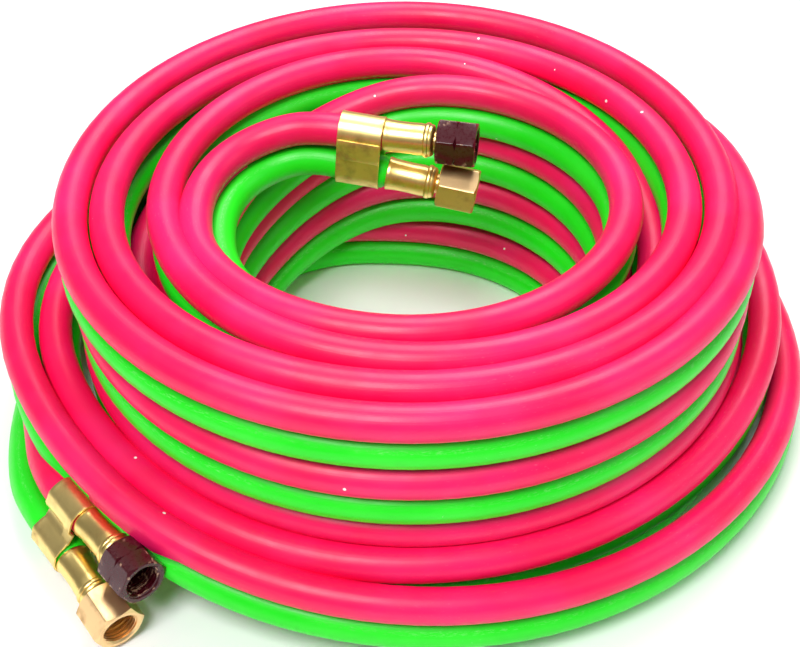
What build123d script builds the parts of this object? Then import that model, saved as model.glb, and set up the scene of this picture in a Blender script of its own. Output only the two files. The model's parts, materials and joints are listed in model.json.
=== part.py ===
from build123d import *
import math
import os

# Coiled twin-line gas welding hose: a fuel hose and an oxygen hose bonded side by side,
# wound into a round coil that lies flat, with crimped swivel fittings on both ends.
# Millimetres, +Z up, the floor is Z = 0 and the origin is the middle of the coil's foot.

# Hose
hose_od = 13.5
hose_bore = 6.35
liner_od = 8.6
braid_od = 10.0
twin_height = 2 * hose_od            # one turn of the twin line, fuel above oxygen
tail_pitch = 13.8                    # centre distance of the two hoses in a free tail
fit_gap = 0.04                       # gap kept between layers that are bonded or crimped

# Coil: rows of turns from the floor up, each an oval (half width X, half depth Y, middle X, Y)
rows = [
    (167.5, 148.6, 0.5, 5.0),
    (165.0, 147.0, -1.5, 3.6),
    (148.0, 142.0, 2.0, 4.6),
    (140.0, 139.5, 2.0, 5.1),
]
hole = (76.5, 71.0, 3.0, -5.9)
row_round = 6.0                      # rounding of each row's outer edges

# Band clamp
band_width = 18.0
band_wall = 0.8
band_pitch = 16.6                    # centre distance of the hoses at the band's middle
band_clearance = 0.15
band_lap = 9.0                       # overlap length of the strip's ends
band_waist = 3.4                     # how deep the outer band is crimped between the hoses
coil_gap = 0.6                       # gap left between the turns and each tail or band
band_overhang = 0.5                  # layered hose that shows behind the band
tail_lead = 6.5                      # straight hose behind that before it bends
spread = 3.4                         # degrees that each fitting leans away from the band's axis

# Ferrule
ferrule_length = 20.5
ferrule_od = 13.2
ferrule_id = 11.6
ferrule_bead_od = 14.2
ferrule_bead_from = 16.4
ferrule_end_wall = 1.4

# Hose nipple, measured along the fitting from the ferrule's mouth
stem_od = 6.3
gas_bore = 4.2
stem_inside = 12.0                   # how far the stem reaches back past the ferrule's mouth
barb_pitch = 3.2
barb_depth = 0.45
hose_in_ferrule = 17.6
neck_down_length = 1.6               # where the hose narrows just outside the ferrule
neck_od = 8.0
head_od = 11.4
head_from = 25.0
nose_from = 26.4
nose_tip = 30.1
nose_tip_od = 5.8
nose_facets = 6

# Swivel nut, 9/16-18 thread
nut_from = 21.6
nut_length = 16.0
nut_flats = 17.46
nut_hole_od = 8.12                   # running hole round the nipple's neck
nut_back_wall = 3.0
nut_relief_od = 14.4
nut_relief_to = 30.4
thread_minor_od = 12.76
chamfer_od = 17.0
notch_depth = 1.25
notch_width = 2.4


class HoseEnd:
    """One end of the twin line: the band's middle, which way it points, and how it leans."""

    def __init__(self, middle, heading, climb, lean):
        self.middle = Vector(*middle)
        h = math.radians(heading)
        c = math.radians(climb)
        self.along = Vector(math.cos(c) * math.cos(h), math.cos(c) * math.sin(h), math.sin(c))
        self.up = lean_direction(self.along, lean)

    def fitting(self, side):
        """Plane at the band's middle, Z along the fitting; side is 1 for fuel, -1 for oxygen."""
        s = math.radians(spread) * side
        direction = self.along * math.cos(s) + self.up * math.sin(s)
        start = self.middle + self.up * (side * band_pitch / 2)
        return Plane(origin=start, x_dir=self.up.cross(direction), z_dir=direction)

    def band(self):
        return Plane(origin=self.middle, x_dir=self.up, z_dir=self.along)


def lean_direction(along, lean):
    """Direction from the oxygen hose to the fuel hose, lean degrees left of straight up."""
    left = Vector(0, 0, 1).cross(along).normalized()
    up = along.cross(left)
    a = math.radians(lean)
    return up * math.cos(a) + left * math.sin(a)


# The ends' places. Ferrule gap: bare hose between the band and the ferrule's mouth.
inner_end = HoseEnd((-17.8, 22.6, 104.5), -10.5, -4.0, 2.5)
outer_end = HoseEnd((-127.4, -105.3, 21.3), -51.0, -1.5, 33.0)
ferrule_gap = {
    "fuel_inner": 0.4,
    "oxygen_inner": 2.8,
    "fuel_outer": 0.4,
    "oxygen_outer": 0.4,
}

# Middle line of each tail, from behind the band back into the coil, with the twin's lean and
# the two hoses' centre distance at each point. The last point lies in the coil.
inner_route = [
    ((-45.2, 27.7, 104.2), 5.0, 14.2),
    ((-59.8, 23.9, 100.8), 12.0, tail_pitch),
    ((-71.4, 14.2, 97.8), 22.0, tail_pitch),
    ((-77.6, -0.4, 95.7), 32.0, tail_pitch),
    ((-78.0, -18.4, 94.9), 36.0, tail_pitch),
    ((-74.0, -36.4, 94.7), 38.0, tail_pitch),
]
outer_route = [
    ((-147.2, -78.2, 19.3), 28.0, 15.2),
    ((-154.0, -60.4, 16.4), 21.0, 14.4),
    ((-158.4, -41.9, 14.6), 14.0, tail_pitch),
    ((-160.4, -22.9, 13.9), 8.0, tail_pitch),
    ((-160.2, -3.4, 13.7), 5.0, tail_pitch),
]


def oval_ring(row, low, high):
    """One row of turns: an oval ring with rounded outer edges."""
    half_x, half_y, middle_x, middle_y = row
    ring = Pos(middle_x, middle_y, low) * extrude(Ellipse(half_x, half_y), high - low)
    ring = fillet(ring.edges(), row_round)
    return ring - Pos(hole[2], hole[3], low - 1) * extrude(Ellipse(hole[0], hole[1]), high - low + 2)


def tube_points(end, route, side):
    """Centre line of one hose of a tail, from the back of the band into the coil."""
    fitting = end.fitting(side)
    back = fitting.origin - fitting.z_dir * (band_width / 2 + band_overhang)
    points = [back, back - fitting.z_dir * tail_lead]
    stations = [Vector(*place) for place, _, _ in route]
    for i, (_, lean, pitch) in enumerate(route):
        before = stations[i - 1] if i else end.middle
        after = stations[i + 1] if i + 1 < len(route) else stations[i]
        up = lean_direction((before - after).normalized(), lean)
        points.append(stations[i] + up * (side * pitch / 2))
    return points


def bend_radii(points):
    """Each corner's radius: 0.45 of its shorter run over the tangent of half its turn."""
    radii = []
    for a, b, c in zip(points, points[1:], points[2:]):
        turn = math.radians((b - a).get_angle(c - b))
        shorter = min((b - a).length, (c - b).length)
        radii.append(0.45 * shorter / math.tan(turn / 2))
    return radii


def tube(points, od, bore=0.0):
    """A tube of straight runs joined by tangent arcs."""
    path = FilletPolyline(*points, radius=bend_radii(points))
    start = Plane(origin=path @ 0, z_dir=path % 0)
    section = Circle(od / 2) - Circle(bore / 2) if bore else Circle(od / 2)
    return sweep(start * section, path=path), path.length


def turned(profile):
    """A solid of revolution about Z from (radius, station) points."""
    face = make_face(Polyline(*[(r, 0, z) for r, z in profile], close=True))
    return revolve(face, Axis.Z)


def coil_solid():
    """The wound turns as one solid, with room for each tail and each band cut out of it."""
    rings = [oval_ring(row, i * twin_height, (i + 1) * twin_height)
             for i, row in enumerate(rows)]
    coil = rings[0] + rings[1:]
    for end, route in ends.values():
        for side in sides.values():
            coil = coil - tube(tube_points(end, route, side), hose_od + 2 * coil_gap)[0]
    room = hose_od + 2 * (band_clearance + band_wall + coil_gap)
    return coil - outer_end.band().location * Box(band_pitch + room, room, band_width + 3.0)


def tail(name, end, route, side):
    """The free hose from the back of the band into the coil."""
    points = tube_points(end, route, side)
    bent, length = tube(points, hose_od, hose_bore)
    section = math.pi / 4 * (hose_od ** 2 - hose_bore ** 2)
    print(name, "length", round(length, 1), "volume", round(bent.volume), "should be",
          round(section * length), "radii", [round(r, 1) for r in bend_radii(points)])
    return bent


def hose_layer(mouth, od, bore, crimped_od, crimped_bore):
    """One layer of the straight hose end: plain through the band, crimped in the ferrule."""
    back = -band_width / 2 - band_overhang
    neck_down = mouth - neck_down_length
    return turned([
        (bore / 2, back),
        (od / 2, back),
        (od / 2, neck_down),
        (crimped_od / 2, mouth - 0.2),
        (crimped_od / 2, mouth + hose_in_ferrule),
        (crimped_bore / 2, mouth + hose_in_ferrule),
        (crimped_bore / 2, mouth - 0.2),
        (bore / 2, neck_down),
    ])


def ferrule():
    """Crimped sleeve with a rolled bead and an end wall that grips the nipple's neck."""
    top = ferrule_length
    body = turned([
        (ferrule_id / 2, 0.0),
        (ferrule_od / 2 - 0.3, 0.0),
        (ferrule_od / 2, 0.5),
        (ferrule_od / 2, ferrule_bead_from),
        (ferrule_bead_od / 2, ferrule_bead_from + 1.2),
        (ferrule_bead_od / 2, top - 1.4),
        (ferrule_bead_od / 2 - 1.4, top),
        ((neck_od + fit_gap) / 2, top),
        ((neck_od + fit_gap) / 2, top - ferrule_end_wall),
        (ferrule_id / 2, top - ferrule_end_wall),
    ])
    return body


def nipple():
    """Barbed stem, neck through the nut, head that the nut pulls on, round seat nose."""
    profile = [(gas_bore / 2, -stem_inside), (stem_od / 2 - 0.5, -stem_inside)]
    station = -stem_inside
    while station + barb_pitch < hose_in_ferrule:
        profile.append((stem_od / 2 - barb_depth, station + 0.4))
        profile.append((stem_od / 2, station + barb_pitch - 0.3))
        profile.append((stem_od / 2 - barb_depth, station + barb_pitch))
        station += barb_pitch
    shoulder = ferrule_length - ferrule_end_wall - 0.6
    profile += [
        (stem_od / 2, station + 0.6),
        (stem_od / 2, shoulder),
        (neck_od / 2, shoulder),
        (neck_od / 2, head_from),
        (head_od / 2, head_from),
        (head_od / 2, nose_from),
    ]
    for i in range(1, nose_facets + 1):
        a = math.pi / 2 * i / nose_facets
        r = nose_tip_od / 2 + (head_od - nose_tip_od) / 2 * math.cos(a)
        z = nose_from + (nose_tip - nose_from) * math.sin(a)
        profile.append((r, z))
    profile.append((gas_bore / 2, nose_tip))
    return turned(profile)


def nut(notched):
    """Hexagon swivel nut: back wall, relief, threaded socket; the fuel nut's corners are notched."""
    end = nut_from + nut_length
    hexagon = extrude(RegularPolygon(nut_flats / 2, 6, major_radius=False), nut_length)
    corner = nut_flats / math.sqrt(3)
    drop = (corner - chamfer_od / 2) * math.tan(math.radians(30))
    body = Pos(0, 0, nut_from) * hexagon & turned([
        (0, nut_from),
        (chamfer_od / 2, nut_from),
        (corner, nut_from + drop),
        (corner, end - drop),
        (chamfer_od / 2, end),
        (0, end),
    ])
    cavity = turned([
        (0, nut_from - 1),
        (nut_hole_od / 2, nut_from - 1),
        (nut_hole_od / 2, nut_from + nut_back_wall),
        (nut_relief_od / 2, nut_from + nut_back_wall),
        (nut_relief_od / 2, nut_relief_to),
        (thread_minor_od / 2, nut_relief_to),
        (thread_minor_od / 2, end + 1),
        (0, end + 1),
    ])
    body = body - cavity
    if notched:
        middle = nut_from + nut_length / 2
        body = body - turned([
            (corner - notch_depth, middle),
            (corner + 1, middle - notch_width),
            (corner + 1, middle + notch_width),
        ])
    return body


def oval(radius):
    """Stadium round both hoses in the band's plane, X from the oxygen hose to the fuel hose."""
    return SlotCenterToCenter(band_pitch, 2 * radius)


def waist(radius):
    """The same outline crimped in between the hoses, so that it hugs each one."""
    hug = Pos(band_pitch / 2, 0) * Circle(radius) + Pos(-band_pitch / 2, 0) * Circle(radius)
    return hug + Rectangle(band_pitch, 2 * (radius - band_waist))


def band(outline):
    """Strip of one wall thickness bent round both hoses."""
    inner = hose_od / 2 + band_clearance
    wall = outline(inner + band_wall) - outline(inner)
    return Pos(0, 0, -band_width / 2) * extrude(wall, band_width)


def lapped_band():
    """Flattened oval band whose strip ends overlap on one flat side."""
    top = hose_od / 2 + band_clearance + band_wall
    lap = Box(band_lap, band_wall, band_width - 0.6)
    return band(oval) + Pos(band_pitch / 2 - band_lap / 2, top + band_wall / 2, 0) * lap


ends = {"inner": (inner_end, inner_route), "outer": (outer_end, outer_route)}
sides = {"fuel": 1, "oxygen": -1}

# Each layer's outside and bore, then the same two where the ferrule crimps the hose
layers = {
    "cover": (hose_od, braid_od, ferrule_id - fit_gap, 9.0),
    "braid": (braid_od - fit_gap, liner_od, 9.0 - fit_gap, 8.0),
    "liner": (liner_od - fit_gap, hose_bore, 8.0 - fit_gap, hose_bore),
}

parts = {}
parts["hose_coil"] = coil_solid()

for end_name, (end, route) in ends.items():
    for gas, side in sides.items():
        tag = gas + "_" + end_name
        mouth = band_width / 2 + ferrule_gap[tag]
        base = end.fitting(side).location
        at = base * Pos(0, 0, mouth)
        parts["hose_tail_" + tag] = tail("hose_tail_" + tag, end, route, side)
        for layer, profile in layers.items():
            parts["hose_" + layer + "_" + tag] = base * hose_layer(mouth, *profile)
        parts["ferrule_" + tag] = at * ferrule()
        parts["nipple_" + tag] = at * nipple()
        parts["swivel_nut_" + tag] = at * nut(gas == "fuel")
bands = {"inner": lapped_band(), "outer": band(waist)}
for end_name, (end, _) in ends.items():
    parts["band_clamp_" + end_name] = end.band().location * bands[end_name]

os.makedirs("parts", exist_ok=True)
for name, shape in parts.items():
    solids = shape.solids()
    keep = solids[0] if len(solids) == 1 else max(solids, key=lambda s: s.volume)
    keep.label = name
    export_step(keep, "parts/" + name + ".step")
    print(name, len(solids), round(keep.volume), keep.bounding_box())
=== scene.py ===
import json
import math
import random
import bpy
from mathutils import Matrix, Vector


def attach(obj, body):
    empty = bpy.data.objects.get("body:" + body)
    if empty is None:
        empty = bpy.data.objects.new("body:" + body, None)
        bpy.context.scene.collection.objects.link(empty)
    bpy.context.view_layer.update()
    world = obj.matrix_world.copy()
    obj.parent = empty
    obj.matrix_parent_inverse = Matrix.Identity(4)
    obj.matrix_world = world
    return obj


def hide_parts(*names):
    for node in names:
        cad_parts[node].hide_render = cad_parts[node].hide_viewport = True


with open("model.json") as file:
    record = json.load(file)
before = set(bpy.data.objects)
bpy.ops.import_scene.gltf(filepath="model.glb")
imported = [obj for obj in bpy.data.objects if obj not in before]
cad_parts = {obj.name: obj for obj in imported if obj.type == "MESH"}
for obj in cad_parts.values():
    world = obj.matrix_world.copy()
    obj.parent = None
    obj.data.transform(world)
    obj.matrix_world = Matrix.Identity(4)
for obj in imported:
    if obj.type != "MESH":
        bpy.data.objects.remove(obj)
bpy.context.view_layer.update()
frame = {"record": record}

# Metres, +Z up. The two hoses lie one above the other, fuel on top, and wind anticlockwise
# seen from above, from the inner end out.

view = {
    "place": (0.0022, -0.4282, 0.4205),
    "downTilt": 41.7,
    "lens": 59.97,
    "shiftX": -0.0125,
    "shiftY": -0.0223,
}

hose = {
    "outside": 0.0135,
    "crimpedOutside": 0.01156,
    "inFerrule": 0.0176,
    "length": 13.0,          # each hose, measured along its centre
    "sides": 28,
    "pointsPerTurn": 24,
    "ringsPerPoint": 4,
}

# the step in the hose at each ferrule's mouth, and how far from the fitting it looks for rings
neck = {"length": 0.0016, "setBack": 0.0002, "slack": 0.0003, "reach": 0.05, "back": 0.03,
        "radius": 0.012}

fitting = {
    "bandPitch": 0.0166,
    "bandWidth": 0.018,
    "spread": 3.4,           # degrees that each fitting leans away from the band's axis
    "lead": 0.0065,          # straight hose behind the band
}

# middle of the band, heading, climb and lean in degrees
hoseEnds = {
    "inner": {"middle": (-0.0178, 0.0226, 0.1045), "heading": -10.5, "climb": -4.0, "lean": 2.5},
    "outer": {"middle": (-0.1274, -0.1053, 0.0213), "heading": -51.0, "climb": -1.5, "lean": 33.0},
}
# bare hose between each band and its ferrule
bareHose = {"fuel_inner": 0.0004, "oxygen_inner": 0.0028,
            "fuel_outer": 0.0004, "oxygen_outer": 0.0004}

# middle line of each tail from the band into the coil: place, lean, distance between the hoses
innerTail = [
    ((-0.0452, 0.0277, 0.1042), 5.0, 0.0142),
    ((-0.0598, 0.0239, 0.1008), 12.0, 0.0138),
    ((-0.0714, 0.0142, 0.0978), 22.0, 0.0138),
    ((-0.0776, -0.0004, 0.0957), 32.0, 0.0138),
    ((-0.0780, -0.0184, 0.0949), 36.0, 0.0138),
    ((-0.0740, -0.0364, 0.0947), 38.0, 0.0138),
]
outerTail = [
    ((-0.1462, -0.0778, 0.0185), 38.0, 0.0152),
    ((-0.1518, -0.0594, 0.0156), 38.0, 0.0144),
    ((-0.1562, -0.0414, 0.0143), 28.0, 0.0138),
    ((-0.1590, -0.0227, 0.0139), 14.0, 0.0138),
    ((-0.1602, -0.0034, 0.0137), 5.0, 0.0138),
]

coil = {
    "middle": (0.0022, -0.0034),
    "startAngle": 218.0,     # where the inner tail hands over to the turns
    "endAngle": 168.0,       # where the turns hand over to the outer tail
}

# one list per turn: angle (0 right, 90 back, 180 left, 270 front), radius, height of the
# twin's middle. Each turn starts at the back, at 90 degrees.
turns = [
    [(203, 0.0820, 0.0947), (240, 0.0800, 0.0945), (270, 0.0802, 0.0945), (315, 0.0820, 0.0945),
     (360, 0.0851, 0.0945), (405, 0.0815, 0.0945)],
    [(90, 0.0747, 0.0945), (113, 0.0765, 0.0860), (145, 0.0790, 0.0735), (180, 0.0800, 0.0675),
     (270, 0.0795, 0.0675), (360, 0.0830, 0.0675)],
    [(90, 0.0817, 0.0675), (113, 0.0810, 0.0605), (145, 0.0810, 0.0470), (180, 0.0810, 0.0405),
     (270, 0.0800, 0.0405), (360, 0.0830, 0.0405)],
    [(90, 0.0803, 0.0405), (113, 0.0805, 0.0340), (145, 0.0805, 0.0200), (180, 0.0800, 0.0137),
     (270, 0.0790, 0.0135), (360, 0.0810, 0.0135)],
    [(90, 0.0800, 0.0135), (120, 0.0895, 0.0135), (150, 0.0945, 0.0135), (180, 0.0950, 0.0135),
     (270, 0.0935, 0.0135), (360, 0.0965, 0.0135)],
    [(90, 0.0970, 0.0135), (180, 0.1095, 0.0135), (270, 0.1075, 0.0135), (360, 0.1110, 0.0135)],
    [(90, 0.1115, 0.0135), (135, 0.1115, 0.0150), (165, 0.1120, 0.0330), (190, 0.1105, 0.0405),
     (270, 0.1090, 0.0405), (360, 0.1120, 0.0405)],
    [(90, 0.1125, 0.0405), (115, 0.1090, 0.0405), (150, 0.0970, 0.0405), (180, 0.0955, 0.0405),
     (270, 0.0945, 0.0405), (360, 0.0980, 0.0405)],
    [(90, 0.0985, 0.0420), (115, 0.1010, 0.0560), (135, 0.1060, 0.0655), (180, 0.1085, 0.0675),
     (270, 0.1075, 0.0675), (360, 0.1120, 0.0675)],
    [(90, 0.1110, 0.0675), (115, 0.1020, 0.0675), (150, 0.0965, 0.0675), (180, 0.0960, 0.0675),
     (270, 0.0945, 0.0675), (330, 0.0970, 0.0675), (360, 0.0995, 0.0700), (405, 0.1010, 0.0840)],
    [(90, 0.0996, 0.0945), (180, 0.0970, 0.0945), (270, 0.0946, 0.0945), (360, 0.1086, 0.0945)],
    [(90, 0.1160, 0.0945), (180, 0.1193, 0.0945), (270, 0.1087, 0.0945), (360, 0.1233, 0.0945)],
    [(90, 0.1410, 0.0945), (180, 0.1337, 0.0945), (270, 0.1240, 0.0945), (360, 0.1325, 0.0915),
     (405, 0.1390, 0.0790)],
    [(90, 0.1330, 0.0675), (180, 0.1300, 0.0675), (270, 0.1254, 0.0675), (360, 0.1310, 0.0660),
     (405, 0.1320, 0.0540)],
    [(90, 0.1310, 0.0405), (180, 0.1300, 0.0405), (270, 0.1240, 0.0405), (360, 0.1320, 0.0390),
     (405, 0.1310, 0.0270)],
    [(90, 0.1300, 0.0135), (180, 0.1290, 0.0135), (270, 0.1190, 0.0135), (360, 0.1400, 0.0135),
     (405, 0.1450, 0.0135)],
    [(90, 0.1440, 0.0160), (135, 0.1495, 0.0290), (180, 0.1500, 0.0365), (210, 0.1400, 0.0357),
     (225, 0.1366, 0.0348), (240, 0.1342, 0.0332), (255, 0.1316, 0.0316), (270, 0.1302, 0.0307),
     (290, 0.1304, 0.0300), (310, 0.1333, 0.0299), (330, 0.1395, 0.0318), (345, 0.1455, 0.0362),
     (360, 0.1505, 0.0405), (400, 0.1540, 0.0425)],
    [(90, 0.1535, 0.0400), (120, 0.1580, 0.0390), (150, 0.1640, 0.0395), (180, 0.1661, 0.0402),
     (195, 0.1602, 0.0400), (210, 0.1547, 0.0385), (225, 0.1508, 0.0345), (240, 0.1481, 0.0305),
     (255, 0.1457, 0.0262), (270, 0.1454, 0.0235), (290, 0.1472, 0.0210), (310, 0.1505, 0.0192),
     (330, 0.1550, 0.0172), (345, 0.1594, 0.0153), (360, 0.1630, 0.0142), (400, 0.1640, 0.0136)],
    [(90, 0.1570, 0.0135), (135, 0.1615, 0.0135), (180, 0.1624, 0.0137)],
]
# lean of the twin, outward from upright, at angles counted on from the first turn's start
coilLean = [(203, 38.0), (225, 30.0), (250, 14.0), (285, 6.0), (450, 5.0), (1890, 4.0),
            (5900, 3.0), (5985, 10.0), (6015, 20.0), (6050, 20.0), (6070, 16.0), (6090, 10.0),
            (6110, 0.0), (6250, 12.0), (6290, 16.0), (6320, -3.0), (6390, -2.0), (6450, 0.0),
            (6490, -5.0), (6660, 2.0)]

sideOf = {"fuel": 1, "oxygen": -1}
otherGas = {"fuel": "oxygen", "oxygen": "fuel"}


def setCamera():
    data = bpy.data.cameras.new("camera")
    data.lens = view["lens"]
    data.sensor_width = 36.0
    data.shift_x = view["shiftX"]
    data.shift_y = view["shiftY"]
    data.clip_start = 0.01
    camera = bpy.data.objects.new("camera", data)
    camera.location = view["place"]
    camera.rotation_euler = (math.radians(90.0 - view["downTilt"]), 0.0, 0.0)
    bpy.context.collection.objects.link(camera)
    bpy.context.scene.camera = camera


def leanDirection(along, lean):
    # from the oxygen hose to the fuel hose, lean degrees left of straight up
    left = Vector((0, 0, 1)).cross(along).normalized()
    up = along.cross(left)
    a = math.radians(lean)
    return up * math.cos(a) + left * math.sin(a)


def endAxes(endName):
    end = hoseEnds[endName]
    h = math.radians(end["heading"])
    c = math.radians(end["climb"])
    along = Vector((math.cos(c) * math.cos(h), math.cos(c) * math.sin(h), math.sin(c)))
    return Vector(end["middle"]), along, leanDirection(along, end["lean"])


def fittingMatrix(gas, endName):
    # Z along the fitting, origin beside the band's middle
    middle, along, up = endAxes(endName)
    s = math.radians(fitting["spread"]) * sideOf[gas]
    z = along * math.cos(s) + up * math.sin(s)
    start = middle + up * (sideOf[gas] * fitting["bandPitch"] / 2)
    x = up.cross(z).normalized()
    y = z.cross(x)
    matrix = Matrix((x, y, z)).transposed().to_4x4()
    matrix.translation = start
    return matrix


def fittingLine(gas, endName):
    # the fitting's origin and direction, and how far along it the ferrule starts
    m = fittingMatrix(gas, endName)
    mouth = fitting["bandWidth"] / 2 + bareHose[gas + "_" + endName]
    return m.translation, m.to_3x3() @ Vector((0, 0, 1)), mouth


def tailPoints(gas, endName, tail):
    # control points from inside the ferrule back to the coil
    start, z, mouth = fittingLine(gas, endName)
    back = fitting["bandWidth"] / 2
    points = [start + z * (mouth + hose["inFerrule"]), start - z * back,
              start - z * (back + fitting["lead"])]
    middle = Vector(hoseEnds[endName]["middle"])
    stations = [Vector(station[0]) for station in tail]
    for i, (_, lean, pitch) in enumerate(tail):
        before = stations[i - 1] if i else middle
        after = stations[i + 1] if i + 1 < len(tail) else stations[i]
        up = leanDirection((before - after).normalized(), lean)
        points.append(stations[i] + up * (sideOf[gas] * pitch / 2))
    return points


def smoothValue(keys, angle, item):
    # a smooth curve through the keys, with each key's slope taken from its neighbours
    i = 0
    while i < len(keys) - 2 and keys[i + 1][0] <= angle:
        i += 1
    a, b = keys[i], keys[i + 1]
    before = keys[i - 1] if i else a
    after = keys[i + 2] if i + 2 < len(keys) else b
    span = b[0] - a[0]
    slopeA = (b[item] - before[item]) / (b[0] - before[0]) * span
    slopeB = (after[item] - a[item]) / (after[0] - a[0]) * span
    t = (angle - a[0]) / span
    t2, t3 = t * t, t * t * t
    return ((2 * t3 - 3 * t2 + 1) * a[item] + (t3 - 2 * t2 + t) * slopeA
            + (-2 * t3 + 3 * t2) * b[item] + (t3 - t2) * slopeB)


def coilPoints(gas):
    keys = []
    for n, turn in enumerate(turns):
        keys += [(angle + 360 * n, radius, height) for angle, radius, height in turn]
    step = 360.0 / hose["pointsPerTurn"]
    outside = 1 / math.cos(math.radians(step / 2))   # a spline runs inside its control points
    angle = coil["startAngle"]
    last = coil["endAngle"] + 360 * (len(turns) - 1)
    points = []
    while angle <= last:
        a = math.radians(angle)
        outward = Vector((math.cos(a), math.sin(a), 0))
        lean = math.radians(smoothValue(coilLean, angle, 1))
        radius = smoothValue(keys, angle, 1)
        half = sideOf[gas] * hose["outside"] / 2
        place = outward * (radius + half * math.sin(lean)) * outside
        place.z = smoothValue(keys, angle, 2) + half * math.cos(lean)
        place.z = max(place.z, hose["outside"] / 2)   # the hose lies on the floor
        points.append(place + Vector((coil["middle"][0], coil["middle"][1], 0)))
        angle += step
    return points


def splinePoints(name, controls):
    # the smooth line that a NURBS curve makes of its control points
    curve = bpy.data.curves.new(name, "CURVE")
    curve.dimensions = "3D"
    spline = curve.splines.new("NURBS")
    spline.points.add(len(controls) - 1)
    for point, place in zip(spline.points, controls):
        point.co = (*place, 1.0)
    spline.order_u = 3
    spline.use_endpoint_u = True
    spline.resolution_u = hose["ringsPerPoint"]
    carrier = bpy.data.objects.new(name, curve)
    bpy.context.collection.objects.link(carrier)
    line = bpy.data.meshes.new_from_object(carrier)
    points = [v.co.copy() for v in line.vertices]
    bpy.data.objects.remove(carrier)
    bpy.data.curves.remove(curve)
    bpy.data.meshes.remove(line)
    return points


def hosePath(gas):
    inner = tailPoints(gas, "inner", innerTail)
    outer = tailPoints(gas, "outer", outerTail)
    return splinePoints(gas + "Route", inner + coilPoints(gas) + outer[::-1])


def tangents(points):
    out = []
    for i in range(len(points)):
        a = points[max(i - 1, 0)]
        b = points[min(i + 1, len(points) - 1)]
        out.append((b - a).normalized())
    return out


def sweepMesh(name, rings, capped=True):
    # quads between neighbouring rings, with a UV map: round the hose, and metres along it
    count = len(rings[0])
    verts = [v for ring in rings for v in ring]
    faces = []
    for i in range(len(rings) - 1):
        for j in range(count):
            k = (j + 1) % count
            faces.append((i * count + j, i * count + k, (i + 1) * count + k, (i + 1) * count + j))
    if capped:
        faces.append(tuple(range(count - 1, -1, -1)))
        faces.append(tuple((len(rings) - 1) * count + j for j in range(count)))
    mesh = bpy.data.meshes.new(name)
    mesh.from_pydata(verts, [], faces)
    along = [0.0]
    for i in range(1, len(rings)):
        along.append(along[-1] + (rings[i][0] - rings[i - 1][0]).length)
    layer = mesh.uv_layers.new(name="hoseMap")
    quads = (len(rings) - 1) * count
    for f in range(quads):
        i, j = divmod(f, count)
        corners = ((j, i), (j + 1, i), (j + 1, i + 1), (j, i + 1))
        for corner, (around, ring) in enumerate(corners):
            layer.data[f * 4 + corner].uv = (around / count, along[ring])
    for polygon in mesh.polygons:
        polygon.use_smooth = True
    piece = bpy.data.objects.new(name, mesh)
    bpy.context.collection.objects.link(piece)
    return piece


def hoseTube(name, points, others):
    # each ring starts on the side that faces the other hose
    rings = []
    radius = hose["outside"] / 2
    for point, other, forward in zip(points, others, tangents(points)):
        toOther = other - point
        x = (toOther - forward * toOther.dot(forward)).normalized()
        y = forward.cross(x)
        ring = []
        for j in range(hose["sides"]):
            a = 2 * math.pi * j / hose["sides"]
            ring.append(point + (x * math.cos(a) + y * math.sin(a)) * radius)
        rings.append(ring)
    return sweepMesh(name, rings)


def neckDown(piece, gas, endName):
    # the hose narrows just outside the ferrule that grips it
    start, z, mouth = fittingLine(gas, endName)
    selectOnly(piece)
    for station in (mouth - neck["length"], mouth - neck["setBack"]):
        bpy.ops.object.mode_set(mode="OBJECT")
        for polygon in piece.data.polygons:
            away = polygon.center - start
            offAxis = (away - z * away.dot(z)).length
            near = away.length < neck["reach"] and offAxis < neck["radius"]
            polygon.select = near and away.dot(z) > -neck["back"]
        bpy.ops.object.mode_set(mode="EDIT")
        bpy.ops.mesh.bisect(plane_co=start + z * station, plane_no=z)
    bpy.ops.object.mode_set(mode="OBJECT")
    squeeze = hose["crimpedOutside"] / hose["outside"]
    for vertex in piece.data.vertices:
        away = vertex.co - start
        if away.length < neck["reach"] and away.dot(z) > mouth - neck["slack"]:
            straight = z * away.dot(z)
            if (away - straight).length < neck["radius"]:
                vertex.co = start + straight + (away - straight) * squeeze


def selectOnly(*pieces):
    if bpy.context.object and bpy.context.object.mode != "OBJECT":
        bpy.ops.object.mode_set(mode="OBJECT")
    bpy.ops.object.select_all(action="DESELECT")
    for piece in pieces:
        piece.select_set(True)
    bpy.context.view_layer.objects.active = pieces[0]


def measure(points):
    return sum((b - a).length for a, b in zip(points, points[1:]))


setCamera()
paths = {gas: hosePath(gas) for gas in sideOf}
hoses = {}
for gas in sideOf:
    piece = hoseTube(gas + "Hose", paths[gas], paths[otherGas[gas]])
    for endName in hoseEnds:
        neckDown(piece, gas, endName)
    hoses[gas] = piece
    print(gas, "hose", round(measure(paths[gas]), 3), "m", len(piece.data.polygons), "faces")


def colourNode(nodes, links, mask, low, high):
    mix = nodes.new("ShaderNodeMix")
    mix.data_type = "RGBA"
    for label, value in (("A", low), ("B", high)):
        if isinstance(value, tuple):
            mix.inputs[label].default_value = value
        else:
            links.new(value, mix.inputs[label])
    links.new(mask, mix.inputs["Factor"])
    return mix.outputs["Result"]


def newMaterial(name):
    material = bpy.data.materials.new(name)
    material.use_nodes = True
    return material, material.node_tree.nodes, material.node_tree.links


def newGroup(name, inputs, outputs):
    group = bpy.data.node_groups.new(name, "ShaderNodeTree")
    for label, kind, value in inputs:
        socket = group.interface.new_socket(label, in_out="INPUT", socket_type=kind)
        socket.default_value = value
    for label, kind in outputs:
        group.interface.new_socket(label, in_out="OUTPUT", socket_type=kind)
    start = group.nodes.new("NodeGroupInput")
    end = group.nodes.new("NodeGroupOutput")
    return group, group.nodes, group.links, start, end


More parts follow.
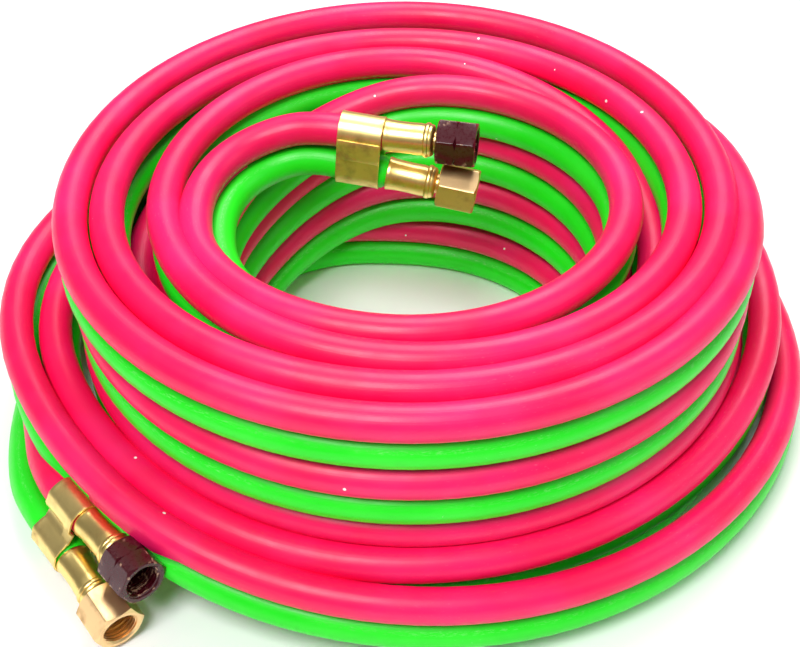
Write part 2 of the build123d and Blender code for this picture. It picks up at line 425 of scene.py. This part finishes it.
def placeGroup(nodes, group, **values):
    node = nodes.new("ShaderNodeGroup")
    node.node_tree = group
    for label, value in values.items():
        node.inputs[label].default_value = value
    return node


def noiseNode(nodes, links, coords, scale, detail=3.0, roughness=0.55):
    noise = nodes.new("ShaderNodeTexNoise")
    noise.inputs["Scale"].default_value = scale
    noise.inputs["Detail"].default_value = detail
    noise.inputs["Roughness"].default_value = roughness
    links.new(coords, noise.inputs["Vector"])
    return noise.outputs["Fac"]


def rangeNode(nodes, links, value, low, high, toLow=0.0, toHigh=1.0):
    node = nodes.new("ShaderNodeMapRange")
    links.new(value, node.inputs["Value"])
    node.inputs["From Min"].default_value = low
    node.inputs["From Max"].default_value = high
    node.inputs["To Min"].default_value = toLow
    node.inputs["To Max"].default_value = toHigh
    return node.outputs["Result"]


def mathNode(nodes, links, operation, a, b):
    node = nodes.new("ShaderNodeMath")
    node.operation = operation
    for socket, value in zip(node.inputs, (a, b)):
        if isinstance(value, (int, float)):
            socket.default_value = value
        else:
            links.new(value, socket)
    return node.outputs[0]


def multiply(nodes, links, a, b):
    return mathNode(nodes, links, "MULTIPLY", a, b)


def stretched(nodes, links, coords, scale, rotation=(0.0, 0.0, 0.0)):
    mapping = nodes.new("ShaderNodeMapping")
    mapping.inputs["Scale"].default_value = scale
    mapping.inputs["Rotation"].default_value = rotation
    links.new(coords, mapping.inputs["Vector"])
    return mapping.outputs["Vector"]


def bumpOn(nodes, links, height, strength, distance):
    bump = nodes.new("ShaderNodeBump")
    bump.inputs["Strength"].default_value = strength
    bump.inputs["Distance"].default_value = distance
    links.new(height, bump.inputs["Height"])
    links.new(bump.outputs["Normal"], nodes["Principled BSDF"].inputs["Normal"])


def makeMottleGroup():
    # soft blotches for rubber and tarnish for brass
    group, nodes, links, start, end = newGroup(
        "mottle",
        [("Scale", "NodeSocketFloat", 20.0), ("Low", "NodeSocketFloat", 0.45),
         ("High", "NodeSocketFloat", 0.7)],
        [("Mask", "NodeSocketFloat")])
    coords = nodes.new("ShaderNodeTexCoord")
    noise = nodes.new("ShaderNodeTexNoise")
    noise.inputs["Detail"].default_value = 5.0
    links.new(coords.outputs["Object"], noise.inputs["Vector"])
    links.new(start.outputs["Scale"], noise.inputs["Scale"])
    spread = nodes.new("ShaderNodeMapRange")
    links.new(noise.outputs["Fac"], spread.inputs["Value"])
    links.new(start.outputs["Low"], spread.inputs["From Min"])
    links.new(start.outputs["High"], spread.inputs["From Max"])
    links.new(spread.outputs["Result"], end.inputs["Mask"])
    return group


def makeSpeckGroup():
    # scattered small round spots
    group, nodes, links, start, end = newGroup(
        "specks",
        [("Scale", "NodeSocketFloat", 60.0), ("Size", "NodeSocketFloat", 0.1),
         ("Share", "NodeSocketFloat", 0.05)],
        [("Mask", "NodeSocketFloat")])
    coords = nodes.new("ShaderNodeTexCoord")
    cells = nodes.new("ShaderNodeTexVoronoi")
    links.new(coords.outputs["Object"], cells.inputs["Vector"])
    links.new(start.outputs["Scale"], cells.inputs["Scale"])
    near = mathNode(nodes, links, "LESS_THAN", cells.outputs["Distance"], start.outputs["Size"])
    pick = nodes.new("ShaderNodeSeparateColor")
    links.new(cells.outputs["Color"], pick.inputs["Color"])
    chosen = mathNode(nodes, links, "LESS_THAN", pick.outputs["Red"], start.outputs["Share"])
    links.new(multiply(nodes, links, near, chosen), end.inputs["Mask"])
    return group


mottleGroup = makeMottleGroup()
speckGroup = makeSpeckGroup()

rubberFinish = {
    "fuel_rubber": {"colour": (0.92, 0.003, 0.092, 1), "pale": (0.95, 0.012, 0.150, 1),
                    "dust": (0.95, 0.35, 0.50, 1), "line": 0.75},
    "oxygen_rubber": {"colour": (0.010, 0.80, 0.010, 1), "pale": (0.025, 0.88, 0.022, 1),
                      "dust": (0.45, 0.92, 0.50, 1), "line": 0.15},
}


def hoseRubber(name, look):
    material, nodes, links = newMaterial(name)
    shader = nodes["Principled BSDF"]
    shader.inputs["IOR"].default_value = 1.5
    shader.inputs["Specular IOR Level"].default_value = 0.42
    uv = nodes.new("ShaderNodeUVMap")
    uv.uv_map = "hoseMap"
    along = uv.outputs["UV"]
    coords = nodes.new("ShaderNodeTexCoord").outputs["Object"]
    blotch = placeGroup(nodes, mottleGroup, Scale=24.0, Low=0.40, High=0.68)
    base = colourNode(nodes, links, blotch.outputs["Mask"], look["colour"], look["pale"])
    # scuffs: fine streaks along the hose, only in some stretches
    drawn = stretched(nodes, links, along, (9.0, 60.0, 1.0))
    streak = rangeNode(nodes, links, noiseNode(nodes, links, drawn, 6.0, 6.0, 0.7), 0.60, 0.74)
    patches = placeGroup(nodes, mottleGroup, Scale=11.0, Low=0.50, High=0.66)
    scuff = multiply(nodes, links, streak, patches.outputs["Mask"])
    scuff = multiply(nodes, links, scuff, 0.38)
    base = colourNode(nodes, links, scuff, base, look["dust"])
    # specks of dust and small nicks
    dust = placeGroup(nodes, speckGroup, Scale=150.0, Size=0.10, Share=0.035)
    base = colourNode(nodes, links, dust.outputs["Mask"], base, (0.92, 0.88, 0.86, 1))
    # a pale rubbed line beside the joint between the hoses, broken here and there
    parts = nodes.new("ShaderNodeSeparateXYZ")
    links.new(along, parts.inputs["Vector"])
    fromJoint = mathNode(nodes, links, "PINGPONG", parts.outputs["X"], 0.5)
    inside = rangeNode(nodes, links, fromJoint, 0.168, 0.150)
    outside = rangeNode(nodes, links, fromJoint, 0.115, 0.128)
    short = stretched(nodes, links, along, (90.0, 420.0, 1.0))
    flecks = rangeNode(nodes, links, noiseNode(nodes, links, short, 1.0, 4.0, 0.7), 0.50, 0.62)
    worn = placeGroup(nodes, mottleGroup, Scale=14.0, Low=0.40, High=0.58)
    line = multiply(nodes, links, multiply(nodes, links, inside, outside),
                    multiply(nodes, links, flecks, worn.outputs["Mask"]))
    line = multiply(nodes, links, line, look["line"])
    base = colourNode(nodes, links, line, base, (0.86, 0.80, 0.80, 1))
    links.new(base, shader.inputs["Base Color"])
    # satin, duller where scuffed
    dull = rangeNode(nodes, links, noiseNode(nodes, links, coords, 90.0), 0.3, 0.7, 0.34, 0.46)
    links.new(mathNode(nodes, links, "ADD", dull, multiply(nodes, links, scuff, 0.5)),
              shader.inputs["Roughness"])
    # extrusion lines along the hose over a fine grain
    ridge = noiseNode(nodes, links, stretched(nodes, links, along, (55.0, 5.0, 1.0)), 1.0, 2.0)
    grain = noiseNode(nodes, links, coords, 900.0, 2.0)
    height = mathNode(nodes, links, "ADD", ridge, multiply(nodes, links, grain, 0.35))
    bumpOn(nodes, links, height, 0.16, 0.0004)
    return material


metalFinish = {
    "ferrule_brass": {"colour": (1.0, 0.75, 0.27, 1), "tarnish": (0.50, 0.27, 0.06, 1),
                      "rough": 0.30, "low": 0.50, "high": 0.80, "brush": 0.02},
    "nipple_brass": {"colour": (0.92, 0.66, 0.27, 1), "tarnish": (0.45, 0.27, 0.09, 1),
                     "rough": 0.30, "low": 0.50, "high": 0.80, "brush": 0.05},
    "band_brass": {"colour": (1.0, 0.77, 0.30, 1), "tarnish": (0.34, 0.20, 0.06, 1),
                   "rough": 0.36, "low": 0.42, "high": 0.74, "brush": 0.06},
    "oxygen_nut": {"colour": (1.0, 0.68, 0.34, 1), "tarnish": (0.52, 0.30, 0.13, 1),
                   "rough": 0.34, "low": 0.50, "high": 0.82, "brush": 0.25},
}


def brass(name, look):
    material, nodes, links = newMaterial(name)
    shader = nodes["Principled BSDF"]
    shader.inputs["Metallic"].default_value = 1.0
    coords = nodes.new("ShaderNodeTexCoord").outputs["Object"]
    blotch = placeGroup(nodes, mottleGroup, Scale=190.0, Low=look["low"], High=look["high"])
    wide = placeGroup(nodes, mottleGroup, Scale=60.0, Low=0.42, High=0.66)
    mask = multiply(nodes, links, blotch.outputs["Mask"], wide.outputs["Mask"])
    base = colourNode(nodes, links, mask, look["colour"], look["tarnish"])
    links.new(base, shader.inputs["Base Color"])
    scratch = stretched(nodes, links, coords, (4200.0, 260.0, 260.0), (0.3, 0.5, 0.9))
    fine = noiseNode(nodes, links, scratch, 1.0, 3.0)
    rough = rangeNode(nodes, links, fine, 0.25, 0.75, look["rough"] - 0.02, look["rough"] + 0.04)
    links.new(mathNode(nodes, links, "ADD", rough, multiply(nodes, links, mask, 0.18)),
              shader.inputs["Roughness"])
    bumpOn(nodes, links, fine, look["brush"], 0.00003)
    return material


maroonFinish = {"colour": (0.055, 0.0012, 0.006, 1), "worn": (0.50, 0.30, 0.20, 1)}


def maroonLacquer(name, look):
    # dark lacquer over brass, thin and chipped on some edges
    material, nodes, links = newMaterial(name)
    shader = nodes["Principled BSDF"]
    shader.inputs["Specular IOR Level"].default_value = 0.30
    shader.inputs["Coat Roughness"].default_value = 0.06
    shader.inputs["Coat Weight"].default_value = 0.45
    coords = nodes.new("ShaderNodeTexCoord").outputs["Object"]
    geometry = nodes.new("ShaderNodeNewGeometry")
    edge = rangeNode(nodes, links, geometry.outputs["Pointiness"], 0.56, 0.66)
    chips = placeGroup(nodes, mottleGroup, Scale=420.0, Low=0.56, High=0.62)
    worn = multiply(nodes, links, edge, chips.outputs["Mask"])
    links.new(colourNode(nodes, links, worn, look["colour"], look["worn"]),
              shader.inputs["Base Color"])
    fine = noiseNode(nodes, links, coords, 700.0, 3.0)
    links.new(rangeNode(nodes, links, fine, 0.3, 0.7, 0.22, 0.38), shader.inputs["Roughness"])
    bumpOn(nodes, links, fine, 0.2, 0.00004)
    return material


def plainRubber(name):
    material, nodes, links = newMaterial(name)
    shader = nodes["Principled BSDF"]
    coords = nodes.new("ShaderNodeTexCoord").outputs["Object"]
    fine = noiseNode(nodes, links, coords, 800.0, 3.0)
    base = colourNode(nodes, links, fine, (0.012, 0.012, 0.012, 1), (0.035, 0.034, 0.033, 1))
    links.new(base, shader.inputs["Base Color"])
    shader.inputs["Roughness"].default_value = 0.6
    return material


def braidYarn(name):
    # crossed yarns round the liner
    material, nodes, links = newMaterial(name)
    shader = nodes["Principled BSDF"]
    coords = nodes.new("ShaderNodeTexCoord").outputs["Object"]
    waves = []
    for turn in (0.8, -0.8):
        wave = nodes.new("ShaderNodeTexWave")
        wave.inputs["Scale"].default_value = 300.0
        links.new(stretched(nodes, links, coords, (1.0, 1.0, 1.0), (0, 0, turn)),
                  wave.inputs["Vector"])
        waves.append(wave.outputs["Fac"])
    weave = mathNode(nodes, links, "MAXIMUM", waves[0], waves[1])
    base = colourNode(nodes, links, weave, (0.30, 0.28, 0.24, 1), (0.72, 0.70, 0.62, 1))
    links.new(base, shader.inputs["Base Color"])
    shader.inputs["Roughness"].default_value = 0.8
    return material


finishes = {name: hoseRubber(name, look) for name, look in rubberFinish.items()}
finishes.update({name: brass(name, look) for name, look in metalFinish.items()})
finishes["fuel_nut"] = maroonLacquer("fuel_nut", maroonFinish)
finishes["liner_rubber"] = plainRubber("liner_rubber")
finishes["braid"] = braidYarn("braid")


def paint(piece, finish):
    piece.data.materials.clear()
    piece.data.materials.append(finishes[finish])
    return piece


web = {"width": 0.0040, "thickness": 0.0006, "slitInner": 0.075, "slitOuter": 0.075}


def hoseWeb():
    # the strip of rubber that joins the two hoses, slit back at both ends
    along = [0.0]
    middle = [(a + b) / 2 for a, b in zip(paths["fuel"], paths["oxygen"])]
    for a, b in zip(middle, middle[1:]):
        along.append(along[-1] + (b - a).length)
    rings = []
    for i, forward in enumerate(tangents(middle)):
        if not web["slitInner"] < along[i] < along[-1] - web["slitOuter"]:
            continue
        up = (paths["fuel"][i] - paths["oxygen"][i]).normalized()
        side = up.cross(forward).normalized()
        w, t = web["width"] / 2, web["thickness"] / 2
        corners = ((-w, -t), (w, -t), (w, t), (-w, t))
        rings.append([middle[i] + side * x + up * y for x, y in corners])
    return sweepMesh("hoseWeb", rings)


for gas in sideOf:
    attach(paint(hoses[gas], gas + "_rubber"), "hose_set")
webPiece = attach(paint(hoseWeb(), "fuel_rubber"), "hose_set")
print("web done")

# metres along the fitting from the ferrule's mouth, unless a name says otherwise
ferruleLook = {"length": 0.0205, "outside": 0.0132, "inside": 0.0116, "beadFrom": 0.0160,
               "bead": 0.0142, "mouthFlare": 0.0003, "waist": 0.00025, "neckHole": 0.00804,
               "wall": 0.0014}
nutLook = {"from": 0.0216, "length": 0.0160, "flats": 0.01746, "hole": 0.00812, "backWall": 0.0030,
           "relief": 0.0144, "reliefTo": 0.0304, "minor": 0.01276, "major": 0.0147,
           "pitch": 0.00141, "chamfer": 0.0170, "notchDepth": 0.00125, "notchWidth": 0.0024,
           "edge": 0.00022, "turn": 30.0, "spin": 96}
# the groove's runs past each end of the thread, and its section as shares of the pitch
threadLook = {"runOut": 0.0012, "runIn": 0.0006, "steps": 48, "half": 0.44, "crest": 0.18,
              "rootCover": 0.0004, "crestCut": 0.0001}
bandLook = {"wall": 0.0008, "clearance": 0.00015, "lap": 0.009, "waist": 0.0034,
            "wrinkle": 0.00026, "dent": 0.00005, "ripple": 0.00008, "flare": 0.00022,
            "arcSteps": 26, "stations": 15}


def finishEdit(merge=0.00001):
    bpy.ops.mesh.select_all(action="SELECT")
    bpy.ops.mesh.remove_doubles(threshold=merge)
    bpy.ops.mesh.normals_make_consistent(inside=False)
    bpy.ops.object.mode_set(mode="OBJECT")


def spunPiece(name, profile, steps=64):
    # a closed outline of (radius, station) spun round Z
    bpy.ops.object.select_all(action="DESELECT")
    bpy.ops.mesh.primitive_circle_add(vertices=len(profile), radius=0.01)
    piece = bpy.context.object
    piece.name = piece.data.name = name
    for vertex, (radius, station) in zip(piece.data.vertices, profile):
        vertex.co = (radius, 0, station)
    bpy.ops.object.mode_set(mode="EDIT")
    bpy.ops.mesh.select_all(action="SELECT")
    bpy.ops.mesh.spin(steps=steps, angle=2 * math.pi, center=(0, 0, 0), axis=(0, 0, 1))
    finishEdit()
    return piece


def applyModifier(piece, kind, **values):
    selectOnly(piece)
    modifier = piece.modifiers.new(kind.title(), kind)
    for label, value in values.items():
        setattr(modifier, label, value)
    bpy.ops.object.modifier_apply(modifier=modifier.name)


def smoothBy(piece, degrees):
    selectOnly(piece)
    bpy.ops.object.shade_smooth_by_angle(angle=math.radians(degrees))


def placed(name, model, matrix):
    # a copy with its own mesh, its place in the mesh
    mesh = model.data.copy()
    mesh.name = name
    mesh.transform(matrix)
    piece = bpy.data.objects.new(name, mesh)
    bpy.context.collection.objects.link(piece)
    return piece


def ferruleModel():
    look = ferruleLook
    r, top = look["outside"] / 2, look["length"]
    bead, inner = look["bead"] / 2, look["inside"] / 2
    mouth = r + look["mouthFlare"]
    profile = [(inner, 0.0), (mouth - 0.0002, 0.0), (mouth, 0.0003), (r + 0.0001, 0.0014)]
    for i in range(1, 10):
        t = i / 10
        dip = look["waist"] * math.sin(math.pi * t)
        profile.append((r - dip, 0.0014 + (look["beadFrom"] - 0.0018) * t))
    profile.append((r - 0.00025, look["beadFrom"] + 0.0002))
    for i in range(9):
        a = math.pi * i / 8
        station = look["beadFrom"] + 0.0014 - 0.0010 * math.cos(a)
        profile.append((r + (bead - r) * math.sin(a), station))
    shoulder, rise = 0.0020, 0.0018
    for i in range(1, 8):
        a = math.pi / 2 * i / 8
        profile.append((r - shoulder + shoulder * math.cos(a), top - rise + rise * math.sin(a)))
    under = top - look["wall"]
    profile += [(look["neckHole"] / 2, top), (look["neckHole"] / 2, under), (inner, under)]
    piece = spunPiece("ferruleModel", profile, 72)
    smoothBy(piece, 50)
    return piece


def threadCutter(rightHand):
    # one helical V groove almost as wide as the thread's pitch, closed at its ends
    look, cut = nutLook, threadLook
    top = look["from"] + look["length"] + cut["runOut"]
    low = look["reliefTo"] - cut["runIn"]
    turnsWanted = (top - low) / look["pitch"]
    hand = 1 if rightHand else -1
    root = look["minor"] / 2 - cut["rootCover"]
    tip = look["major"] / 2 - cut["crestCut"]
    half = Vector((0, 0, look["pitch"] * cut["half"]))
    rings = []
    for i in range(int(turnsWanted * cut["steps"]) + 1):
        a = hand * 2 * math.pi * i / cut["steps"]
        centre = Vector((0, 0, low + look["pitch"] * i / cut["steps"]))
        out = Vector((math.cos(a), math.sin(a), 0))
        section = [out * root - half, out * tip - half * cut["crest"],
                   out * tip + half * cut["crest"], out * root + half]
        rings.append([v + centre for v in section])
    cutter = sweepMesh("threadCutter", rings)
    selectOnly(cutter)
    bpy.ops.object.mode_set(mode="EDIT")
    finishEdit(0.0000001)
    return cutter


def cutWith(piece, cutter, operation="DIFFERENCE"):
    applyModifier(piece, "BOOLEAN", object=cutter, operation=operation, solver="EXACT")
    bpy.data.objects.remove(cutter)


def nutModel(notched, rightHand):
    look = nutLook
    corner = look["flats"] / math.sqrt(3)
    drop = (corner - look["chamfer"] / 2) * math.tan(math.radians(30))
    low, top = look["from"], look["from"] + look["length"]
    bpy.ops.object.select_all(action="DESELECT")
    bpy.ops.mesh.primitive_cylinder_add(vertices=6, radius=corner, depth=look["length"],
                                        location=(0, 0, (low + top) / 2),
                                        rotation=(0, 0, math.pi / 6))
    piece = bpy.context.object
    bpy.ops.object.transform_apply(location=True, rotation=True, scale=True)
    piece.name = "nutModel"
    applyModifier(piece, "BEVEL", width=look["edge"], segments=2, limit_method="ANGLE")
    chamfer = look["chamfer"] / 2
    ends = spunPiece("nutRound", [(0.00001, low), (chamfer, low), (corner, low + drop),
                                  (corner + 0.001, low + drop + 0.0006),
                                  (corner + 0.001, top - drop - 0.0006), (corner, top - drop),
                                  (chamfer, top), (0.00001, top)], look["spin"])
    cutWith(piece, ends, "INTERSECT")
    minor, relief = look["minor"] / 2, look["relief"] / 2
    bore = spunPiece("nutBore", [(0.00001, low - 0.001), (look["hole"] / 2, low - 0.001),
                                 (look["hole"] / 2, low + look["backWall"]),
                                 (relief, low + look["backWall"]), (relief, look["reliefTo"]),
                                 (minor, look["reliefTo"]), (minor, top - 0.0008),
                                 (look["major"] / 2 + 0.0002, top + 0.0002),
                                 (look["major"] / 2 + 0.0002, top + 0.001),
                                 (0.00001, top + 0.001)], look["spin"])
    cutWith(piece, bore)
    cutWith(piece, threadCutter(rightHand))
    if notched:
        middle = (low + top) / 2
        ring = spunPiece("nutNotch", [(corner - look["notchDepth"], middle),
                                      (corner + 0.001, middle - look["notchWidth"] / 1.6),
                                      (corner + 0.001, middle + look["notchWidth"] / 1.6)],
                         look["spin"])
        cutWith(piece, ring)
    smoothBy(piece, 28)
    print(piece.name, len(piece.data.polygons), "faces")
    return piece


def bandOutline(radius, waisted):
    # half way round each hose, and across between them, x from the oxygen hose to the fuel hose
    half = fitting["bandPitch"] / 2
    points = []
    count = bandLook["arcSteps"]
    flat = radius - (bandLook["waist"] if waisted else 0.0)
    reach = math.asin(min(flat / radius, 1.0))
    for side in (1, -1):
        start = -(math.pi - reach) if waisted else -math.pi / 2
        end = -start
        for i in range(count + 1):
            a = start + (end - start) * i / count
            points.append((side * (half + radius * math.cos(a)), side * radius * math.sin(a)))
        if not waisted:
            for t in (0.25, 0.5, 0.75):
                points.append((side * (half - 2 * half * t), side * radius))
    return points


def bandPiece(name, endName, waisted):
    rng = random.Random(11 if waisted else 5)
    middle, along, up = endAxes(endName)
    across = along.cross(up)
    inner = hose["outside"] / 2 + bandLook["clearance"]
    outline = bandOutline(inner, waisted)
    count = len(outline)
    stations = bandLook["stations"]
    waves = [(rng.uniform(1.5, 4.0), rng.uniform(0, 6.28), rng.uniform(0.5, 1.0)) for _ in range(4)]
    verts, faces = [], []
    for k in range(stations):
        t = k / (stations - 1)
        z = (t - 0.5) * fitting["bandWidth"]
        for j, (x, y) in enumerate(outline):
            nextX, nextY = outline[(j + 1) % count]
            lastX, lastY = outline[j - 1]
            normal = Vector((nextY - lastY, lastX - nextX, 0)).normalized()
            wrinkle = 0.0
            if waisted:
                between = max(0.0, 1 - abs(x) / (fitting["bandPitch"] * 0.75))
                for often, phase, size in waves:
                    wrinkle += size * math.sin(often * x * 420 + phase + 0.8 * (t - 0.5))
                wrinkle *= bandLook["wrinkle"] * (0.30 + between)
                wrinkle = max(wrinkle, -bandLook["dent"])
            else:
                wrinkle = bandLook["ripple"] * math.sin(3 * x * 300 + 1.0) * math.sin(math.pi * t)
                wrinkle = max(wrinkle, 0.0)
            flare = bandLook["flare"] * (abs(2 * t - 1) ** 6)
            place = Vector((x, y, z)) + normal * (wrinkle + flare)
            verts.append(middle + up * place.x + across * place.y + along * place.z)
    for k in range(stations - 1):
        for j in range(count):
            n = (j + 1) % count
            faces.append((k * count + j, k * count + n, (k + 1) * count + n, (k + 1) * count + j))
    mesh = bpy.data.meshes.new(name)
    mesh.from_pydata(verts, [], faces)
    piece = bpy.data.objects.new(name, mesh)
    bpy.context.collection.objects.link(piece)
    selectOnly(piece)
    bpy.ops.object.mode_set(mode="EDIT")
    finishEdit()
    applyModifier(piece, "SOLIDIFY", thickness=bandLook["wall"], offset=1.0)
    applyModifier(piece, "BEVEL", width=0.00014, segments=2, limit_method="ANGLE",
                  angle_limit=math.radians(50))
    smoothBy(piece, 40)
    return piece


def lapStrip():
    # the strip's free end, lying over the band on its front flat side
    middle, along, up = endAxes("inner")
    across = along.cross(up)
    top = hose["outside"] / 2 + bandLook["clearance"] + bandLook["wall"]
    length, wall = bandLook["lap"], bandLook["wall"]
    width = fitting["bandWidth"] - 0.0006
    bpy.ops.object.select_all(action="DESELECT")
    bpy.ops.mesh.primitive_cube_add(size=1.0)
    piece = bpy.context.object
    piece.name = piece.data.name = "bandLap"
    centre = Vector((fitting["bandPitch"] / 2 - length / 2, top + wall / 2, 0))
    bpy.ops.object.mode_set(mode="EDIT")
    bpy.ops.mesh.subdivide(number_cuts=3)
    bpy.ops.object.mode_set(mode="OBJECT")
    for vertex in piece.data.vertices:
        x, y, z = vertex.co.x * length, vertex.co.y * wall, vertex.co.z * width
        if x > length * 0.3:
            y -= 0.00015
        local = centre + Vector((x, y, z))
        vertex.co = middle + up * local.x + across * local.y + along * local.z
    applyModifier(piece, "BEVEL", width=0.00016, segments=2, limit_method="ANGLE")
    smoothBy(piece, 40)
    return piece


def joined(name, *pieces):
    selectOnly(*pieces)
    bpy.ops.object.join()
    pieces[0].name = pieces[0].data.name = name
    return pieces[0]


def makeFittings():
    made = {}
    turn = Matrix.Rotation(math.radians(nutLook["turn"]), 4, "Z")
    ferrule = ferruleModel()
    nuts = {"fuel": nutModel(True, False), "oxygen": nutModel(False, True)}
    for endName in hoseEnds:
        for gas in sideOf:
            tag = gas + "_" + endName
            mouth = fitting["bandWidth"] / 2 + bareHose[tag]
            at = fittingMatrix(gas, endName) @ Matrix.Translation((0, 0, mouth))
            sleeve = placed("ferrulePiece_" + tag, ferrule, at)
            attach(paint(sleeve, "ferrule_brass"), "hose_set")
            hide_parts("ferrule_" + tag)
            nut = placed("nutPiece_" + tag, nuts[gas], at @ turn)
            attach(paint(nut, gas + "_nut"), "nut_" + tag)
            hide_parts("swivel_nut_" + tag)
            made[tag] = (sleeve, nut)
    for model in (ferrule, *nuts.values()):
        bpy.data.objects.remove(model)
    inner = joined("bandInner", bandPiece("bandInner", "inner", False), lapStrip())
    outer = bandPiece("bandOuter", "outer", True)
    for piece, node in ((inner, "band_clamp_inner"), (outer, "band_clamp_outer")):
        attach(paint(piece, "band_brass"), "hose_set")
        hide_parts(node)
        made[node] = (piece,)
    print("fittings done")
    return made


madeFittings = makeFittings()

for node, slotName in ((s["node"], s["material_slot"]) for s in frame["record"]["subparts"]):
    nodePiece = bpy.data.objects.get(node)
    if nodePiece and slotName in finishes:
        paint(nodePiece, slotName)

for gas in sideOf:
    nodes = ["hose_coil"]
    for endName in hoseEnds:
        nodes += ["hose_tail_" + gas + "_" + endName, "hose_cover_" + gas + "_" + endName]
    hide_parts(*nodes)
    start, z, mouth = fittingLine(gas, "inner")
    onIt = [piece for endName in hoseEnds for piece in madeFittings[gas + "_" + endName]]
    onIt += [madeFittings["band_clamp_" + endName][0] for endName in hoseEnds]
    onIt += ["nipple_" + gas + "_" + endName for endName in hoseEnds]

light = {
    "key": {"place": (-0.32, -0.66, 1.30), "size": 0.6, "power": 17.5},
    "fill": {"place": (0.95, -0.35, 0.75), "size": 0.7, "power": 2.2},
    "back": {"place": (0.1, 0.70, 1.25), "size": 0.9, "power": 15.0},
    "world": 0.20,
}


def addLight(name, look):
    data = bpy.data.lights.new(name, "AREA")
    data.size = look["size"]
    data.energy = look["power"]
    lamp = bpy.data.objects.new(name, data)
    lamp.location = look["place"]
    aim = Vector((0, 0, 0.05)) - Vector(look["place"])
    lamp.rotation_euler = aim.to_track_quat("-Z", "Y").to_euler()
    bpy.context.collection.objects.link(lamp)


def makeStage():
    bpy.ops.mesh.primitive_plane_add(size=8.0, location=(0, 0, 0))
    floor = bpy.context.object
    floor.name = "floor"
    material, nodes = newMaterial("paleFloor")[:2]
    nodes["Principled BSDF"].inputs["Base Color"].default_value = (0.97, 0.97, 0.97, 1)
    nodes["Principled BSDF"].inputs["Roughness"].default_value = 0.9
    floor.data.materials.append(material)
    for name in ("key", "fill", "back"):
        addLight(name, light[name])
    world = bpy.data.worlds.new("studio")
    world.use_nodes = True
    world.node_tree.nodes["Background"].inputs["Color"].default_value = (1, 1, 1, 1)
    world.node_tree.nodes["Background"].inputs["Strength"].default_value = light["world"]
    bpy.context.scene.world = world
    bpy.context.scene.view_settings.view_transform = "Standard"


makeStage()
print("stage done")
